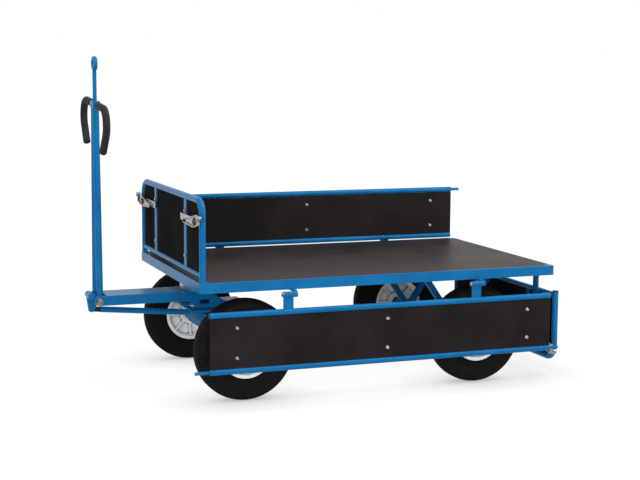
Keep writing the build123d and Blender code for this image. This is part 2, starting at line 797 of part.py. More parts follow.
with BuildPart() as hinge_knuckles:
    radius = knuckle_diameter / 2
    for x, y in side_hinges:
        x0 = x + strap_width / 2 + side_play
        x1 = x0 + fixed_knuckle_width
        edge = y / wall_y * (deck_width / 2 - tongue_reach)
        bar_x(((x0 + x1) / 2, y, hinge_z), radius, fixed_knuckle_width)
        block((x0, y, rail_bottom - tongue_thickness), (x1, edge, rail_bottom))
        bar_x(((x0 + x1) / 2, y, hinge_z), hinge_pin_diameter / 2, fixed_knuckle_width, Mode.SUBTRACT)
    for way in (-1, 1):
        y0 = way * rear_hinge_reach + strap_width / 2 + side_play
        y1 = y0 + fixed_knuckle_width
        middle = (rear_hinge_x, (y0 + y1) / 2, hinge_z)
        bar_y(middle, radius, fixed_knuckle_width)
        block((rear_hinge_x, y0, rail_bottom - tongue_thickness),
              (deck_x + deck_length / 2 - tongue_reach, y1, rail_bottom))
        bar_y(middle, hinge_pin_diameter / 2, fixed_knuckle_width, Mode.SUBTRACT)
export_piece(hinge_knuckles.part, "hinge_knuckles")

with BuildPart() as hinge_pins:
    for x, y in side_hinges:
        x0 = x - strap_width / 2 - side_play
        bar_x((x0 + pin_total / 2, y, hinge_z), hinge_pin_diameter / 2, pin_total)
        bar_x((x0 - hinge_head_height / 2, y, hinge_z), hinge_head_diameter / 2, hinge_head_height)
    for way in (-1, 1):
        y0 = way * rear_hinge_reach - strap_width / 2 - side_play
        bar_y((rear_hinge_x, y0 + pin_total / 2, hinge_z), hinge_pin_diameter / 2, pin_total)
        bar_y((rear_hinge_x, y0 - hinge_head_height / 2, hinge_z), hinge_head_diameter / 2, hinge_head_height)
export_piece(hinge_pins.part, "hinge_pins")

# Depths through a wall, counted from its tubes' middle towards the load
side_panel_face = side_tube / 2 - bolt_head_height
side_panel_back = side_panel_face - panel_thickness
side_bar_back = side_panel_back - bar_thickness
end_panel_face = end_tube / 2 - bolt_head_height
end_panel_back = end_panel_face - panel_thickness
end_bar_back = end_panel_back - bar_thickness


# Side walls: the same pieces for both sides, standing (up = 1) or hanging (up = -1)
def side_wall(name, side, up, middle):
    hinge_y = side * wall_y
    inward = -side * up

    def spot(along, height, depth):
        return (middle + along, hinge_y + inward * depth, hinge_z + up * height)

    half = side_wall_length / 2
    with BuildPart() as frame:
        for height in (side_low, side_high):
            bar_x(spot(0, height, 0), side_tube / 2, side_wall_length)
        for along in (-side_bar_reach, 0, side_bar_reach):
            block(spot(along - bar_width / 2, side_low, side_bar_back),
                  spot(along + bar_width / 2, side_high, side_panel_back))
        bar_x(spot(0, side_low, 0), side_tube / 2 - tube_wall, side_wall_length, Mode.SUBTRACT)
        plug = 2 * pin_diameter
        bar_x(spot(0, side_high, 0), side_tube / 2 - tube_wall, side_wall_length - 2 * plug, Mode.SUBTRACT)
        with Locations(spot(half / 2, side_high + up * side_tube / 2, 0)):
            Cylinder(vent_diameter / 2, side_tube, mode=Mode.SUBTRACT)
        bar_x(spot(-half - front_pin_length / 2, side_high, 0), pin_diameter / 2, front_pin_length)
        bar_x(spot(half + rear_pin_length / 2, side_high, 0), pin_diameter / 2, rear_pin_length)
        for way in (-1, 0, 1):
            for row in (-1, 1):
                place = spot(way * side_bar_reach, side_low + side_pitch / 2 + row * side_bolt_pitch / 2, 0)
                bar_y(place, bolt_diameter / 2, side_tube, Mode.SUBTRACT)
    export_piece(frame.part, f"{name}_frame")

    with BuildPart() as straps:
        for way in (-1, 1):
            along = side_hinge_shift + way * side_hinge_reach
            block(spot(along - strap_width / 2, 0, -strap_thickness / 2),
                  spot(along + strap_width / 2, side_low - side_tube / 2, strap_thickness / 2))
            bar_x(spot(along, 0, 0), knuckle_diameter / 2, strap_width)
            bar_x(spot(along, 0, 0), hinge_pin_diameter / 2 + running_fit, strap_width, Mode.SUBTRACT)
    export_piece(straps.part, f"{name}_straps")

    edge = side_tube / 2 + panel_gap
    with BuildPart() as panel:
        block(spot(-half, side_low + edge, side_panel_back), spot(half, side_high - edge, side_panel_face))
        for way in (-1, 0, 1):
            for row in (-1, 1):
                place = spot(way * side_bar_reach, side_low + side_pitch / 2 + row * side_bolt_pitch / 2, 0)
                bar_y(place, bolt_diameter / 2, side_tube, Mode.SUBTRACT)
    export_piece(panel.part, f"{name}_panel")

    with BuildPart() as bolts:
        for way in (-1, 0, 1):
            for row in (-1, 1):
                height = side_low + side_pitch / 2 + row * side_bolt_pitch / 2
                along = way * side_bar_reach
                shank = side_panel_face - side_bar_back
                bar_y(spot(along, height, side_panel_face - shank / 2), bolt_diameter / 2, shank)
                with Locations(spot(along, height, side_panel_face + bolt_head_height / 2)):
                    Cone(bolt_head_diameter / 2, bolt_crown_diameter / 2, bolt_head_height,
                         rotation=(-90 * inward, 0, 0))
    export_piece(bolts.part, f"{name}_bolts")


side_wall("near_wall", -1, -1, deck_x)
side_wall("far_wall", 1, 1, deck_x + far_wall_shift)


# End walls: a bent tube with a cross tube, two bars and a board. Depth counts towards the load.
def end_wall(name, plane_x, foot_z, up, inward, height, cross_height, latch_rise):
    plane = Plane(origin=(plane_x, 0, foot_z), x_dir=(0, 1, 0), z_dir=(up, 0, 0))

    def spot(depth, y, rise):
        return (plane_x + inward * depth, y, foot_z + up * rise)

    top = height - end_tube / 2
    panel_low = cross_height + cross_tube / 2 + panel_gap
    panel_high = height - end_tube - panel_gap
    rows = (panel_low + end_bolt_margin, latch_rise + latch_plate_height / 2 + bolt_plate_gap)
    with BuildPart() as frame:
        with BuildLine(plane) as path:
            FilletPolyline((-post_y, 0), (-post_y, top), (post_y, top), (post_y, 0), radius=end_bend)
        foot = Plane(origin=path.line @ 0, z_dir=path.line % 0)
        with BuildSketch(foot):
            Circle(end_tube / 2)
        sweep(path=path.line)
        bar_y(spot(0, 0, cross_height), cross_tube / 2, 2 * post_y)
        for way in (-1, 1):
            block(spot(end_bar_back, way * end_bar_reach - bar_width / 2, cross_height),
                  spot(end_panel_back, way * end_bar_reach + bar_width / 2, top))
        with BuildSketch(foot):
            Circle(end_tube / 2 - tube_wall)
        sweep(path=path.line, mode=Mode.SUBTRACT)
        bar_y(spot(0, 0, cross_height), cross_tube / 2 - tube_wall, 2 * post_y, Mode.SUBTRACT)
        for way in (-1, 1):
            for row in rows:
                bar_x(spot(0, way * end_bar_reach, row), bolt_diameter / 2, end_tube, Mode.SUBTRACT)
    export_piece(frame.part, f"{name}_frame")

    with BuildPart() as panel:
        edge = post_y - end_tube / 2 - panel_gap
        block(spot(end_panel_back, -edge, panel_low), spot(end_panel_face, edge, panel_high))
        uprights = panel.edges().filter_by(Axis.X).group_by(Axis.Z)
        fillet(uprights[-1 if up > 0 else 0], end_bend - end_tube / 2)
        for way in (-1, 1):
            for row in rows:
                bar_x(spot(0, way * end_bar_reach, row), bolt_diameter / 2, 2 * end_tube, Mode.SUBTRACT)
    export_piece(panel.part, f"{name}_panel")

    with BuildPart() as bolts:
        for way in (-1, 1):
            for row in rows:
                shank = end_panel_face - end_bar_back + bolt_head_height
                bar_x(spot(end_panel_face - shank / 2, way * end_bar_reach, row), bolt_diameter / 2, shank)
                with Locations(spot(end_panel_face + bolt_head_height / 2, way * end_bar_reach, row)):
                    Cone(bolt_head_diameter / 2, bolt_crown_diameter / 2, bolt_head_height,
                         rotation=(0, 90 * inward, 0))
                with Locations(spot(end_bar_back - bolt_head_height / 2, way * end_bar_reach, row)):
                    Cylinder(bolt_nut_diameter / 2, bolt_head_height, rotation=(0, 90, 0))
    export_piece(bolts.part, f"{name}_bolts")


# Latches: a plate across bar and post, and a lever whose hook drops over the side wall's end pin
def latch_plates(plane_x, level, inward):
    face = -end_tube / 2
    front = face - latch_plate_thickness
    head = front - latch_lever_thickness - 2 * latch_play
    with BuildPart() as plates:
        for side in (-1, 1):
            low = level - latch_plate_height / 2
            high = level + latch_plate_height / 2
            inner = side * (end_bar_reach - bar_width / 2)
            tab = inner - side * latch_plate_tab
            block((plane_x + inward * front, tab, low),
                  (plane_x + inward * face, side * deck_width / 2, high))
            block((plane_x + inward * face, inner, low),
                  (plane_x + inward * end_bar_back, side * (end_bar_reach + bar_width / 2), high))
            stud = (head - latch_head_height - front)
            bar_x((plane_x + inward * (front + stud / 2), side * latch_pivot_reach, level),
                  latch_stud_diameter / 2, abs(stud))
            bar_x((plane_x + inward * (head - latch_head_height / 2), side * latch_pivot_reach, level),
                  latch_head_diameter / 2, latch_head_height)
    return plates.part


# The lever is a pressed dish, drawn flat with the pin to its right: the hook is raised off the pin
def latch_shape():
    tilt = radians(latch_release)

    def raised(along, rise):
        return (along * cos(tilt) - rise * sin(tilt), along * sin(tilt) + rise * cos(tilt))

    pin = wall_y - latch_pivot_reach
    notch = pin_diameter / 2 + latch_notch_play
    nose = pin + notch + latch_hook_tooth - latch_nose_radius
    depth = latch_lever_thickness - latch_lever_wall
    hook = [((0, 0), latch_hook_radius), (raised(pin - latch_hook_back, 0), latch_hook_radius),
            (raised(nose, latch_nose_radius - latch_hook_below), latch_nose_radius)]
    handle = [((0, 0), latch_hook_radius), ((-latch_handle_length, -latch_handle_fall), latch_handle_tip)]
    dish = [((0, 0), latch_hook_radius), (raised(pin - latch_dish_back, 0), latch_hook_radius)]
    with BuildPart() as lever:
        for rounds in (hook, handle):
            with BuildSketch():
                for place, radius in rounds:
                    with Locations(place):
                        Circle(radius)
                make_hull()
            extrude(amount=latch_lever_thickness)
        for rounds in (dish, handle):
            with BuildSketch(Plane.XY.offset(latch_lever_thickness)):
                for place, radius in rounds:
                    with Locations(place):
                        Circle(radius - latch_lever_wall)
                make_hull()
            extrude(amount=-depth, mode=Mode.SUBTRACT)
        with BuildSketch():
            Circle(latch_boss_diameter / 2)
        extrude(amount=latch_lever_thickness)
        with BuildSketch():
            with Locations(raised(pin, 0)):
                Circle(notch)
            with Locations(raised(pin, -latch_hook_radius)):
                Rectangle(2 * notch, 2 * latch_hook_radius, rotation=latch_release)
            Circle(latch_stud_diameter / 2 + running_fit)
        extrude(amount=latch_lever_thickness, mode=Mode.SUBTRACT)
    return lever.part


latch_right = latch_shape()
latch_left = mirror(latch_right, about=Plane.YZ)


def latch_lever(plane_x, level, inward, side, up):
    back = plane_x - inward * (end_tube / 2 + latch_plate_thickness + latch_play)
    shape = latch_right if side * up < 0 else latch_left
    plane = Plane(origin=(back, side * latch_pivot_reach, level), x_dir=(0, -up, 0), z_dir=(-inward, 0, 0))
    return plane.location * shape


end_wall("front_wall", front_wall_x, deck_top, 1, 1, front_wall_height, front_cross_height,
         latch_z - deck_top)
export_piece(latch_plates(front_wall_x, latch_z, 1), "front_latch_plates")
for side, name in ((-1, "near"), (1, "far")):
    export_piece(latch_lever(front_wall_x, latch_z, 1, side, 1), f"front_{name}_latch")

# The rear wall hangs: it is turned half round its hinge axis, so its load side looks to the rear
rear_wall_x = deck_x + rear_hang_off
rear_foot_up = deck_top + wall_clear + cap_thickness
rear_foot_z = 2 * hinge_z - rear_foot_up
rear_latch_z = 2 * hinge_z - latch_z
rear_wall_height = deck_top + rear_wall_rise - rear_foot_up

end_wall("rear_wall", rear_wall_x, rear_foot_z, -1, 1, rear_wall_height, rear_cross_height,
         latch_z - rear_foot_up)
export_piece(latch_plates(rear_wall_x, rear_latch_z, 1), "rear_latch_plates")
for side, name in ((-1, "near"), (1, "far")):
    export_piece(latch_lever(rear_wall_x, rear_latch_z, 1, side, -1), f"rear_{name}_latch")

with BuildPart() as rear_wall_caps:
    for side in (-1, 1):
        with Locations((rear_wall_x, side * post_y, rear_foot_z + cap_thickness / 2)):
            Cylinder(end_tube / 2, cap_thickness)
        with Locations((rear_wall_x, side * post_y, rear_foot_z - cap_thickness)):
            Cylinder(end_tube / 2 - tube_wall, 2 * cap_thickness)
export_piece(rear_wall_caps.part, "rear_wall_caps")

with BuildPart() as rear_straps:
    for way in (-1, 1):
        y = way * rear_hinge_reach
        block((rear_hinge_x - strap_thickness / 2, y - strap_width / 2, hinge_z),
              (rear_hinge_x + strap_thickness / 2, y + strap_width / 2, hinge_z - rear_strap_reach))
        cross_z = rear_foot_z - rear_cross_height
        block((rear_hinge_x, y - strap_width / 2, cross_z - rear_pad_height / 2),
              (rear_wall_x - cross_tube / 2, y + strap_width / 2, cross_z + rear_pad_height / 2))
        bar_y((rear_hinge_x, y, hinge_z), knuckle_diameter / 2, strap_width)
        bar_y((rear_hinge_x, y, hinge_z), hinge_pin_diameter / 2 + running_fit, strap_width, Mode.SUBTRACT)
export_piece(rear_straps.part, "rear_wall_straps")
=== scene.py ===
import bpy
import bmesh
import json
import math
from mathutils import Euler, Matrix, Vector


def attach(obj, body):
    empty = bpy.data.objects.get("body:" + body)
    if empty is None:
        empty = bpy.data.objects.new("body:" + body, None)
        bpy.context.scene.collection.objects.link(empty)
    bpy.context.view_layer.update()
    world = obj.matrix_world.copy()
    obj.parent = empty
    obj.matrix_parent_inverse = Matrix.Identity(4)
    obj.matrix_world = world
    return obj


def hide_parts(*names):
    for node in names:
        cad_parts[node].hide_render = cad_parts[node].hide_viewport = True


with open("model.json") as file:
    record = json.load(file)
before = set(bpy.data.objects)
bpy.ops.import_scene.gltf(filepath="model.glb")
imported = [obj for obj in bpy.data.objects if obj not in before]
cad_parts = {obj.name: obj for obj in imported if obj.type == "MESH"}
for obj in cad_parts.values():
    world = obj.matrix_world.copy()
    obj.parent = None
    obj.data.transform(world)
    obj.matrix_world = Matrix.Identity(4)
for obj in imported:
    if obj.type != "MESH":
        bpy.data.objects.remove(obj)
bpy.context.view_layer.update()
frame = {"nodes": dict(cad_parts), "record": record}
nodes = frame["nodes"]
print("frame loaded:", len(nodes), "nodes")


# colour, node and mesh helpers
def linear(hexColour):
    parts = [int(hexColour[i:i + 2], 16) / 255 for i in (1, 3, 5)]
    return [c / 12.92 if c <= 0.04045 else ((c + 0.055) / 1.055) ** 2.4 for c in parts] + [1.0]


def perMetre(millimetres):
    return 1000.0 / millimetres


def addNode(tree, kind, inputs=None, stops=(), **settings):
    node = tree.nodes.new(kind)
    for key, value in settings.items():
        setattr(node, key, value)
    for key, value in (inputs or {}).items():
        if isinstance(value, bpy.types.NodeSocket):
            tree.links.new(value, node.inputs[key])
        else:
            node.inputs[key].default_value = value
    for index, (position, colour) in enumerate(stops):
        elements = node.color_ramp.elements
        element = elements[index] if index < len(elements) else elements.new(position)
        element.position = position
        element.color = colour
    return node


# what all finishes share: spans of the noise and of the turn at a corner, and the depth of the relief in metres
coat = {"colourSpan": (0.35, 0.65), "glossSpan": (0.3, 0.7), "cornerSpan": (0.97, 0.80), "cloudDetail": 4.0, "grainDetail": 3.0,
        "reliefDepth": 0.0005, "meshAngle": 45.0, "edgeRays": 6, "creviceRays": 8}
waveLength = 2 * math.pi / 20  # length of one band of the wave texture at a scale of 1


def makeFinish(look):
    material = bpy.data.materials.new(look["name"])
    material.use_nodes = True
    tree = material.node_tree
    shader = tree.nodes["Principled BSDF"]
    shader.inputs["Metallic"].default_value = look.get("metallic", 0.0)
    shader.inputs["Specular IOR Level"].default_value = look.get("specular", 0.5)
    place = addNode(tree, "ShaderNodeTexCoord").outputs["Object"]
    cloud = addNode(tree, "ShaderNodeTexNoise", {"Vector": place, "Scale": perMetre(look["cloud"]),
                                                 "Detail": coat["cloudDetail"]}).outputs["Fac"]
    height = addNode(tree, "ShaderNodeTexNoise", {"Vector": place, "Scale": perMetre(look["grain"]),
                                                  "Detail": coat["grainDetail"]}).outputs["Fac"]
    shades = zip(coat["colourSpan"], (linear(look["dark"]), linear(look["light"])))
    colour = addNode(tree, "ShaderNodeValToRGB", {"Fac": cloud}, stops=shades).outputs["Color"]
    gloss = addNode(tree, "ShaderNodeMapRange", {"Value": cloud, "From Min": coat["glossSpan"][0],
                                                 "From Max": coat["glossSpan"][1],
                                                 "To Min": look["gloss"][0], "To Max": look["gloss"][1]})
    tree.links.new(gloss.outputs["Result"], shader.inputs["Roughness"])
    if "mesh" in look:
        turned = addNode(tree, "ShaderNodeMapping", {"Vector": place,
                                                     "Rotation": (0.0, 0.0, math.radians(coat["meshAngle"]))})
        wires = [addNode(tree, "ShaderNodeTexWave", {"Vector": turned.outputs["Vector"],
                                                     "Scale": perMetre(look["mesh"]) * waveLength},
                         bands_direction=way).outputs["Fac"] for way in ("X", "Y")]
        height = addNode(tree, "ShaderNodeMath", {0: wires[0], 1: wires[1]}, operation="MAXIMUM").outputs["Value"]
    bump = addNode(tree, "ShaderNodeBump", {"Height": height, "Strength": look["relief"],
                                            "Distance": coat["reliefDepth"]})
    tree.links.new(bump.outputs["Normal"], shader.inputs["Normal"])
    # paler corners where the bevelled normal turns away from the face: partly wear, partly a painted highlight along
    # the edges
    if "edge" in look:
        rounded = addNode(tree, "ShaderNodeBevel", {"Radius": look["edgeRadius"]},
                          samples=coat["edgeRays"]).outputs["Normal"]
        tree.links.new(rounded, bump.inputs["Normal"])
        flat = addNode(tree, "ShaderNodeNewGeometry").outputs["Normal"]
        facing = addNode(tree, "ShaderNodeVectorMath", {0: rounded, 1: flat}, operation="DOT_PRODUCT")
        corner = addNode(tree, "ShaderNodeMapRange", {"Value": facing.outputs["Value"],
                                                      "From Min": coat["cornerSpan"][0],
                                                      "From Max": coat["cornerSpan"][1]})
        colour = addNode(tree, "ShaderNodeMix", {"Factor": corner.outputs["Result"], "A": colour,
                                                 "B": linear(look["edge"])}, data_type="RGBA").outputs["Result"]
    # painted shade: crevices found by ambient occlusion turn towards a near-black colour
    if "crevice" in look:
        hidden = addNode(tree, "ShaderNodeAmbientOcclusion", {"Distance": look["creviceReach"]},
                         samples=coat["creviceRays"], only_local=True)
        share = addNode(tree, "ShaderNodeMapRange", {"Value": hidden.outputs["AO"],
                                                     "From Min": look["creviceSpan"][0],
                                                     "From Max": look["creviceSpan"][1],
                                                     "To Min": 1.0, "To Max": 0.0})
        colour = addNode(tree, "ShaderNodeMix", {"Factor": share.outputs["Result"], "A": colour,
                                                 "B": linear(look["crevice"])}, data_type="RGBA").outputs["Result"]
    tree.links.new(colour, shader.inputs["Base Color"])
    return material


def paint(thing, material):
    thing.data.materials.clear()
    thing.data.materials.append(material)


def addPiece(name, verts, faces, material, creaseAngle=35.0, weldGap=1e-6):
    mesh = bpy.data.meshes.new(name)
    mesh.from_pydata(verts, [], faces)
    work = bmesh.new()
    work.from_mesh(mesh)
    bmesh.ops.remove_doubles(work, verts=work.verts, dist=weldGap)
    bmesh.ops.recalc_face_normals(work, faces=work.faces)
    work.to_mesh(mesh)
    work.free()
    mesh.shade_smooth()
    mesh.set_sharp_from_angle(angle=math.radians(creaseAngle))
    piece = bpy.data.objects.new(name, mesh)
    bpy.context.scene.collection.objects.link(piece)
    paint(piece, material)
    return piece


def skin(rings, closed):
    verts = [point for ring in rings for point in ring]
    width = len(rings[0])
    count = len(rings) if closed else len(rings) - 1
    faces = []
    for ring in range(count):
        after = (ring + 1) % len(rings)
        faces += [(ring * width + k, ring * width + k + 1, after * width + k + 1, after * width + k)
                  for k in range(width - 1)]
    return verts, faces


def spin(profile, steps):  # a profile of radius and height, turned about the Y axis
    turns = [2 * math.pi * step / steps for step in range(steps)]
    return skin([[(r * math.sin(turn), y, r * math.cos(turn)) for r, y in profile] for turn in turns], True)


def addTo(verts, faces, shape):
    faces += [tuple(index + len(verts) for index in face) for face in shape[1]]
    verts += shape[0]


# powder-coated steel: baked polyester, an even strong blue with a faint orange peel and paler corners, partly wear
# and partly painted highlight
bluePaint = {"name": "powderCoatBlue", "dark": "#0a5a8e", "light": "#0f6499", "cloud": 140.0, "grain": 3.0,
             "gloss": (0.22, 0.3), "relief": 0.06, "specular": 0.08, "edge": "#4a90c8", "edgeRadius": 0.0012}
# film-faced birch plywood of the deck: dark brown phenolic film with a non-slip wire mesh, sheen only at a low angle
deckFilm = {"name": "meshFilmPlywood", "dark": "#241f1d", "light": "#2e2825", "cloud": 220.0, "grain": 9.0,
            "gloss": (0.4, 0.52), "relief": 0.2, "specular": 0.06,
            "mesh": 6.0}  # real mesh about 4 mm, drawn at 6 to show
# the same plywood with smooth film on the walls: nearly black brown, dull
wallFilm = {"name": "smoothFilmPlywood", "dark": "#1f1c1c", "light": "#262223", "cloud": 160.0, "grain": 9.0,
            "gloss": (0.45, 0.6), "relief": 0.08, "specular": 0.0}
# bright zinc plate on steel: cloudy pale grey with a soft metal gloss, paler corners that are partly wear and partly
# painted highlight, and painted shade darkening where pieces meet
zinc = {"name": "zincPlatedSteel", "dark": "#585957", "light": "#a8a9a7", "cloud": 14.0, "grain": 2.0,
        "gloss": (0.16, 0.28), "relief": 0.05, "metallic": 1.0, "edge": "#c4c5c3", "edgeRadius": 0.0008,
        "crevice": "#161718", "creviceReach": 0.012, "creviceSpan": (0.35, 0.75)}
# the same plate on the rolled button heads: brighter and more even
boltZinc = {"name": "zincPlatedBoltHead", "dark": "#969795", "light": "#c2c3c1", "cloud": 6.0, "grain": 1.5,
            "gloss": (0.2, 0.3), "relief": 0.04, "metallic": 1.0}
# ground bearing steel, oiled: grey with fine turning marks
groundSteel = {"name": "groundBearingSteel", "dark": "#8d8f91", "light": "#a3a5a7", "cloud": 20.0, "grain": 0.8,
               "gloss": (0.2, 0.34), "relief": 0.05, "metallic": 1.0}
# tyre rubber: moulded, carbon black, dry, a little dusty in patches
tyreRubber = {"name": "mouldedTyreRubber", "dark": "#111112", "light": "#191819", "cloud": 45.0, "grain": 1.6,
              "gloss": (0.62, 0.8), "relief": 0.2, "specular": 0.06}
# silver wheel lacquer: pale, satin, with painted shade darkening the pockets' corners
rimLacquer = {"name": "silverWheelLacquer", "dark": "#e2e4e6", "light": "#f0f1f2", "cloud": 30.0, "grain": 1.2,
              "gloss": (0.35, 0.48), "relief": 0.04, "specular": 0.5,
              "crevice": "#17191b", "creviceReach": 0.011, "creviceSpan": (0.5, 0.88)}
# closed-cell foam: extruded black sleeve, matt, with tiny pores
gripFoam = {"name": "closedCellFoam", "dark": "#1b191b", "light": "#262326", "cloud": 35.0,
            "grain": 2.2,  # pores about 1 mm, drawn at 2.2 to show
            "gloss": (0.75, 0.9), "relief": 0.3, "specular": 0.25}
# moulded black polyethylene of the tube plugs: dull, faintly mottled
plugPlastic = {"name": "mouldedPlugPlastic", "dark": "#151516", "light": "#202022", "cloud": 12.0, "grain": 2.0,
               "gloss": (0.45, 0.6), "relief": 0.1, "specular": 0.3}
# black oxide of the brake rod's eye: oily blue black
blackOxide = {"name": "blackOxideSteel", "dark": "#171616", "light": "#232221", "cloud": 12.0, "grain": 2.0,
              "gloss": (0.35, 0.5), "relief": 0.08, "metallic": 0.6}

finishes = {"blue_paint": makeFinish(bluePaint), "film_plywood": makeFinish(wallFilm), "zinc_plate": makeFinish(zinc),
            "bare_steel": makeFinish(groundSteel), "tyre_rubber": makeFinish(tyreRubber),
            "rim_silver": makeFinish(rimLacquer), "grip_foam": makeFinish(gripFoam),
            "black_plastic": makeFinish(plugPlastic), "black_steel": makeFinish(blackOxide)}
ownFinish = {"deck_board": makeFinish(deckFilm)}  # nodes that look different from the rest of their slot
boltFinish = makeFinish(boltZinc)
for side in ("near", "far", "front", "rear"):
    ownFinish[side + "_wall_bolts"] = boltFinish
slotOf = {part["node"]: part["material_slot"] for part in frame["record"]["subparts"]}
for nodeName, thing in nodes.items():
    paint(thing, ownFinish[nodeName] if nodeName in ownFinish else finishes[slotOf[nodeName]])
print("materials set:", len(bpy.data.materials))

# air tyre about the Y axis: smooth walls, three grooves and a row of notches round each shoulder
# wall and crown are (radius, height) from bead to middle; a notch step is (share of the pitch, share of the depth)
tyre = {"wall": ((0.1040, 0.0415), (0.1165, 0.0418), (0.1195, 0.0428), (0.1230, 0.0446), (0.1265, 0.0458),
                 (0.1305, 0.0462), (0.1340, 0.0462), (0.1385, 0.0474), (0.1450, 0.0487), (0.1510, 0.0494),
                 (0.1590, 0.0498), (0.1670, 0.0498)),
        "arcMiddle": (0.175, 0.015), "arcRadius": 0.0348, "arcSteps": 18, "crownGap": 0.001,
        "crown": ((0.2086, 0.0235), (0.2052, 0.0228), (0.2052, 0.0172), (0.2097, 0.0165), (0.2098, 0.0100),
                  (0.2098, 0.0035), (0.2052, 0.0028)),
        "notches": 72, "notched": (36.0, 63.0), "notchDepth": 0.0042,
        "notchSteps": ((0.0, 0.0), (0.62, 0.0), (0.70, 1.0), (0.92, 1.0))}


def tyreMesh():
    half = [(r, y, 0.0, 0.0) for r, y in tyre["wall"]]
    for step in range(tyre["arcSteps"] + 1):
        angle = math.pi / 2 * step / tyre["arcSteps"]
        rise, out = math.sin(angle), math.cos(angle)
        r = tyre["arcMiddle"][0] + tyre["arcRadius"] * rise
        y = tyre["arcMiddle"][1] + tyre["arcRadius"] * out
        if y > tyre["crown"][0][1] + tyre["crownGap"]:
            cut = tyre["notchDepth"] if tyre["notched"][0] < math.degrees(angle) < tyre["notched"][1] else 0.0
            half.append((r, y, cut * rise, cut * out))
    half += [(r, y, 0.0, 0.0) for r, y in tyre["crown"]]
    profile = half + [(r, -y, sink, -pull) for r, y, sink, pull in reversed(half)]
    rings = []
    for notch in range(tyre["notches"]):
        for share, deep in tyre["notchSteps"]:
            turn = 2 * math.pi * (notch + share) / tyre["notches"]
            rings.append([((r - deep * sink) * math.sin(turn), y - deep * pull, (r - deep * sink) * math.cos(turn))
                          for r, y, sink, pull in profile])
    return skin(rings, True)


# wheel rim about the Y axis: barrel with two flanges, and a dished face each side with eight rounded pockets
# flange and hub are (radius, height); a pocket wall step is (inset from its outline, depth)
rim = {"flange": ((0.0975, 0.0370), (0.0988, 0.0376), (0.0996, 0.0390), (0.0999, 0.0420), (0.1004, 0.0446),
                  (0.1020, 0.0457), (0.1040, 0.0459), (0.1125, 0.0459), (0.1143, 0.0456), (0.1153, 0.0446),
                  (0.1153, 0.0430), (0.1143, 0.0421), (0.1045, 0.0420), (0.1032, 0.0410)),
       "hub": ((0.0440, 0.0309), (0.0405, 0.0312), (0.0392, 0.0316), (0.0375, 0.0317), (0.0262, 0.0317),
               (0.0252, 0.0312), (0.0238, 0.0300), (0.0238, 0.0180)),
       "spokes": 8, "steps": 144, "inner": 0.040, "outer": 0.0975, "innerHeight": 0.030, "outerHeight": 0.037,
       "overlap": 0.003, "pocket": (0.0445, 0.0950), "rib": 0.0038, "corner": 0.0052, "leastCorner": 0.002,
       "arcSteps": 6, "farthest": 6.0, "halvings": 40,
       "walls": ((0.0, 0.0), (0.0004, 0.0006), (0.0010, 0.0012), (0.0018, 0.0100), (0.0030, 0.0118),
                 (0.0060, 0.0122))}


def pocketOutline(inset):
    inner, outer = rim["pocket"][0] + inset, rim["pocket"][1] - inset
    corner = max(rim["corner"] - inset, rim["leastCorner"])
    steps = rim["arcSteps"]
    side = math.pi / rim["spokes"]
    away = side + math.pi / 2
    reach = rim["rib"] + inset + corner
    upper = []
    for bound, atRim in ((outer - corner, True), (inner + corner, False)):
        along = math.sqrt(bound ** 2 - reach ** 2)
        middle = (along * math.cos(side) + reach * math.sin(side), along * math.sin(side) - reach * math.cos(side))
        lean = math.atan2(middle[1], middle[0])
        edge = bound + corner if atRim else bound - corner
        first, last = (lean, away) if atRim else (away, lean + math.pi)
        arc = [(edge * math.cos(lean * k / steps), edge * math.sin(lean * k / steps)) for k in range(steps)]
        bend = [(middle[0] + corner * math.cos(first + (last - first) * k / steps),
                 middle[1] + corner * math.sin(first + (last - first) * k / steps)) for k in range(steps + 1)]
        upper += arc + bend if atRim else bend + arc[::-1]
    return upper + [(x, -y) for x, y in upper[-2:0:-1]]


def faceHeight(radius):
    share = (radius - rim["inner"]) / (rim["outer"] - rim["inner"])
    return rim["innerHeight"] + share * (rim["outerHeight"] - rim["innerHeight"])


def sectorEdge(point):  # where a ray from the pocket's middle through the point leaves the spoke's sector
    side = math.pi / rim["spokes"]
    middle = sum(rim["pocket"]) / 2
    ray = (point[0] - middle, point[1])
    near, far = 1.0, rim["farthest"]
    for _ in range(rim["halvings"]):
        reach = (near + far) / 2
        x, y = middle + ray[0] * reach, ray[1] * reach
        inside = (rim["inner"] - rim["overlap"] < math.hypot(x, y) < rim["outer"] + rim["overlap"] and x > 0
                  and abs(math.atan2(y, x)) < side)
        near, far = (reach, far) if inside else (near, reach)
    return middle + ray[0] * near, ray[1] * near


def rimMesh():
    verts, faces = spin(rim["flange"] + tuple((r, -y) for r, y in reversed(rim["flange"])), rim["steps"])
    outlines = [pocketOutline(inset) for inset, depth in rim["walls"]]
    edge = [sectorEdge(point) for point in outlines[0]]
    rows = [(edge, 0.0)] + [(outline, depth) for outline, (inset, depth) in zip(outlines, rim["walls"])]
    width = len(edge)
    for facing in (-1, 1):
        addTo(verts, faces, spin([(r, facing * y) for r, y in rim["hub"]], rim["steps"]))
        for spoke in range(rim["spokes"]):
            turn = 2 * math.pi * (spoke + 0.5) / rim["spokes"]
            start = len(verts)
            for outline, depth in rows:
                for x, y in outline:
                    height = facing * (faceHeight(math.hypot(x, y)) - depth)
                    verts.append((x * math.sin(turn) + y * math.cos(turn), height,
                                  x * math.cos(turn) - y * math.sin(turn)))
            for row in range(len(rows) - 1):
                here, below = start + row * width, start + (row + 1) * width
                faces += [(here + k, here + (k + 1) % width, below + (k + 1) % width, below + k)
                          for k in range(width)]
            faces.append(tuple(start + (len(rows) - 1) * width + k for k in range(width)))
    return verts, faces


wheels = {"x": {"front": -0.43375, "rear": 0.61325}, "y": {"near": -0.428, "far": 0.428}, "z": 0.210}


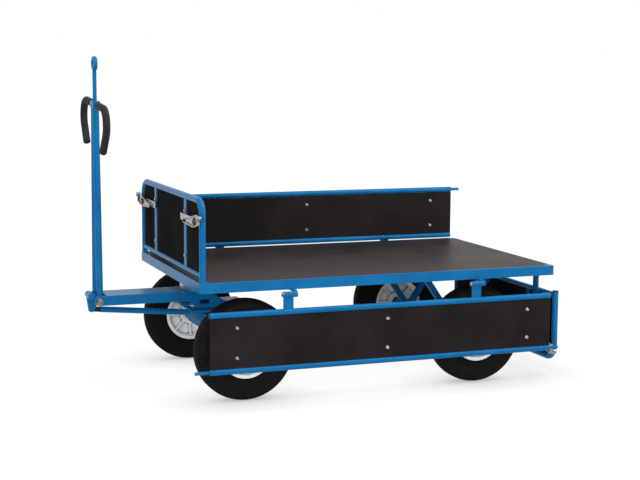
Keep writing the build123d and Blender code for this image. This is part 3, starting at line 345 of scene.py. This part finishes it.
def makeWheels():
    tyreShape, rimShape = tyreMesh(), rimMesh()
    for end, x in wheels["x"].items():
        for side, y in wheels["y"].items():
            body = f"{end}_{side}_wheel"
            for part, shape, slot in (("tyre", tyreShape, "tyre_rubber"), ("rim", rimShape, "rim_silver")):
                piece = addPiece(f"{end}_{side}_{part}_detail", *shape, finishes[slot])
                piece.location = (x, y, wheels["z"])
                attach(piece, body)
                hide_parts(f"{end}_{side}_{part}")


makeWheels()
print("wheels made")

# foam grips: a sleeve over each bent handle, square at the head and rounded at its tip
# the mouth's steps are (distance along the sleeve, how far inside its radius)
grip = {"leg": -0.94675, "level": 1.197, "tilt": 4.3, "start": 0.064, "reach": 0.234, "bend": 0.068, "turn": 127.0,
        "tail": 0.092, "radius": 0.0155, "round": 0.005, "sides": 28, "steps": 60, "roundSteps": 6, "tipHole": 0.001,
        "mouth": ((0.0, 0.0115), (0.0, 0.0040), (0.0, 0.0015), (0.0015, 0.0003)), "mouthLength": 0.004,
        "creaseAngle": 50.0}


def gripPath(along):
    straight = grip["reach"] - grip["bend"] - grip["start"]
    arcLength = grip["bend"] * math.radians(grip["turn"])
    turned = math.radians(grip["turn"]) * min(max(along - straight, 0.0) / arcLength, 1.0)
    rest = max(along - straight - arcLength, 0.0)
    u = grip["start"] + min(along, straight) + grip["bend"] * math.sin(turned) + rest * math.cos(turned)
    v = -grip["bend"] * (1 - math.cos(turned)) - rest * math.sin(turned)
    return u, v, turned


def gripStations():
    radius, curl, mouth = grip["radius"], grip["round"], grip["mouthLength"]
    length = grip["reach"] - grip["bend"] - grip["start"] + grip["bend"] * math.radians(grip["turn"]) + grip["tail"]
    stations = [(along, radius - short) for along, short in grip["mouth"]]
    stations += [(mouth + (length - mouth - curl) * k / grip["steps"], radius) for k in range(grip["steps"] + 1)]
    for k in range(1, grip["roundSteps"] + 1):
        angle = math.pi / 2 * k / grip["roundSteps"]
        stations.append((length - curl + curl * math.sin(angle), radius - curl + curl * math.cos(angle)))
    return stations + [(length, grip["tipHole"])]


def makeGrips():
    tilt = math.radians(grip["tilt"])
    lengthways = Vector((1, 0, 0))
    for side, name in ((-1, "near"), (1, "far")):
        outward = Vector((0.0, side * math.cos(tilt), side * math.sin(tilt)))
        upward = Vector((0.0, -math.sin(tilt), math.cos(tilt)))
        rings = []
        for along, radius in gripStations():
            u, v, turned = gripPath(along)
            middle = Vector((grip["leg"], 0.0, grip["level"])) + outward * u + upward * v
            across = outward * math.sin(turned) + upward * math.cos(turned)
            angles = [2 * math.pi * k / grip["sides"] for k in range(grip["sides"] + 1)]
            rings.append([tuple(middle + (across * math.cos(angle) + lengthways * math.sin(angle)) * radius)
                          for angle in angles])
        verts, faces = skin(rings, False)
        piece = addPiece(f"{name}_grip_sleeve", verts, faces, finishes["grip_foam"], grip["creaseAngle"])
        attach(piece, "drawbar")
        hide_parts("handle_grips")


makeGrips()
print("grips made")

# tube plugs: a domed insert in each open tube end of the side walls, and a flat collar where the latch pin leaves
# the other tube; both are (radius, how far it stands out), and each wall is (middle, depth, way up)
plug = {"body": ((0.0, 0.0028), (0.0060, 0.0026), (0.0100, 0.0018), (0.0118, 0.0006), (0.0120, -0.0004),
                 (0.0092, -0.0006), (0.0092, -0.0120)),
        "collar": ((0.0073, 0.0010), (0.0100, 0.0010), (0.0116, 0.0006), (0.0121, 0.0001)),
        "sides": 32, "half": 0.770, "hinge": 0.4425, "open": 0.0705, "pinned": 0.3005,
        "walls": {"near_wall": (0.16325, -0.525, -1), "far_wall": (0.18425, 0.525, 1)}}


def makePlugs():
    turns = [2 * math.pi * k / plug["sides"] for k in range(plug["sides"])]
    for wall, (middle, y, up) in plug["walls"].items():
        verts, faces = [], []
        for way in (-1, 1):
            for profile, height in ((plug["body"], plug["open"]), (plug["collar"], plug["pinned"])):
                z = plug["hinge"] + up * height
                addTo(verts, faces, skin([[(middle + way * (plug["half"] + out), y + r * math.cos(turn),
                                            z + r * math.sin(turn)) for r, out in profile] for turn in turns], True))
        piece = addPiece(f"{wall}_tube_plugs", verts, faces, finishes["black_plastic"])
        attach(piece, wall)


makePlugs()
print("plugs made")

# camera at the photograph's place; its shift is zero
shot = {"place": (-2.11846, -5.78283, 1.39309), "yaw": 0.36005, "pitch": 0.12985, "roll": 0.00604, "lens": 78.375,
        "sensor": 36.0}


def setCamera():
    camera = bpy.data.objects.new("shotCamera", bpy.data.cameras.new("shotCamera"))
    bpy.context.scene.collection.objects.link(camera)
    turn = Euler((math.pi / 2 - shot["pitch"], 0.0, -shot["yaw"]), "XYZ").to_matrix()
    camera.matrix_world = Matrix.Translation(shot["place"]) @ (turn @ Matrix.Rotation(shot["roll"], 3, "Z")).to_4x4()
    camera.data.lens = shot["lens"]
    camera.data.sensor_width = shot["sensor"]
    bpy.context.scene.camera = camera


setCamera()

# pale studio: floor and sky read white to the camera; the floor keeps a faint real shadow, and a painted contact
# shadow darkens its glow near the wheels
# the front lamp stands low and would glare off the deck in views from behind, so gloss doesn't mirror it
studio = {"sky": 0.62, "floorSize": 60.0, "floorColour": "#cfcfcf", "floorRoughness": 0.9, "glow": 1.04,
          "nearShare": 0.93, "nearReach": 1.3, "farReach": 2.8,
          "contactReach": 0.22, "contactShade": 0.42, "contactRays": 16, "aim": (0.1, 0.0, 0.5),
          "lamps": ({"name": "topLamp", "place": (-0.4, -1.0, 4.6), "size": (4.0, 4.0), "power": 72.0},
                    {"name": "frontLamp", "place": (-3.6, -5.6, 1.2), "size": (1.5, 1.5), "power": 190.0,
                     "mirrored": False},
                    {"name": "sideLamp", "place": (4.2, -3.0, 2.4), "size": (3.0, 3.0), "power": 30.0},
                    {"name": "stripLamp", "place": (1.7, -1.6, 3.6), "size": (2.8, 0.16), "power": 85.0,
                     "aim": (1.7, 0.0, 0.5)})}


def rayMask(tree):
    path = addNode(tree, "ShaderNodeLightPath")
    first = addNode(tree, "ShaderNodeMath", {0: path.outputs["Is Camera Ray"], 1: path.outputs["Is Glossy Ray"]},
                    operation="MAXIMUM")
    return addNode(tree, "ShaderNodeMath", {0: first.outputs["Value"], 1: path.outputs["Is Transmission Ray"]},
                   operation="MAXIMUM").outputs["Value"]


def setSky():
    world = bpy.data.worlds.new("studioSky")
    bpy.context.scene.world = world
    world.use_nodes = True
    tree = world.node_tree
    strength = addNode(tree, "ShaderNodeMapRange", {"Value": rayMask(tree), "To Min": studio["sky"], "To Max": 1.0})
    tree.links.new(strength.outputs["Result"], tree.nodes["Background"].inputs["Strength"])
    tree.nodes["Background"].inputs["Color"].default_value = (1.0, 1.0, 1.0, 1.0)


def setFloor():
    half = studio["floorSize"] / 2
    mesh = bpy.data.meshes.new("studioFloor")
    mesh.from_pydata([(-half, -half, 0), (half, -half, 0), (half, half, 0), (-half, half, 0)], [], [(0, 1, 2, 3)])
    floor = bpy.data.objects.new("studioFloor", mesh)
    bpy.context.scene.collection.objects.link(floor)
    material = bpy.data.materials.new("paleFloor")
    material.use_nodes = True
    tree = material.node_tree
    shader = tree.nodes["Principled BSDF"]
    shader.inputs["Base Color"].default_value = linear(studio["floorColour"])
    shader.inputs["Roughness"].default_value = studio["floorRoughness"]
    place = addNode(tree, "ShaderNodeTexCoord").outputs["Object"]
    away = addNode(tree, "ShaderNodeVectorMath", {0: place}, operation="LENGTH").outputs["Value"]
    share = addNode(tree, "ShaderNodeMapRange", {"Value": away, "From Min": studio["nearReach"],
                                                 "From Max": studio["farReach"], "To Min": studio["nearShare"],
                                                 "To Max": 1.0}, interpolation_type="SMOOTHSTEP")
    seen = addNode(tree, "ShaderNodeMath", {0: rayMask(tree), 1: share.outputs["Result"]}, operation="MULTIPLY")
    # painted contact shadow: ambient occlusion near the wheels dims the floor's glow
    contact = addNode(tree, "ShaderNodeAmbientOcclusion", {"Distance": studio["contactReach"]},
                      samples=studio["contactRays"])
    shade = addNode(tree, "ShaderNodeMapRange", {"Value": contact.outputs["AO"],
                                                 "To Min": studio["contactShade"] * studio["glow"],
                                                 "To Max": studio["glow"]})
    glow = addNode(tree, "ShaderNodeEmission", {"Strength": shade.outputs["Result"]})
    both = addNode(tree, "ShaderNodeMixShader", {"Fac": seen.outputs["Value"], 1: shader.outputs["BSDF"],
                                                 2: glow.outputs["Emission"]})
    tree.links.new(both.outputs["Shader"], tree.nodes["Material Output"].inputs["Surface"])
    mesh.materials.append(material)


def setLamps():
    for lamp in studio["lamps"]:
        light = bpy.data.lights.new(lamp["name"], "AREA")
        light.shape = "RECTANGLE"
        light.size, light.size_y = lamp["size"]
        light.energy = lamp["power"]
        holder = bpy.data.objects.new(lamp["name"], light)
        bpy.context.scene.collection.objects.link(holder)
        holder.visible_glossy = lamp.get("mirrored", True)
        holder.location = lamp["place"]
        sight = Vector(lamp.get("aim", studio["aim"])) - Vector(lamp["place"])
        holder.rotation_euler = sight.to_track_quat("-Z", "Y").to_euler()


bpy.context.scene.view_settings.view_transform = "Standard"
setSky()
setFloor()
setLamps()
print("camera and studio set")
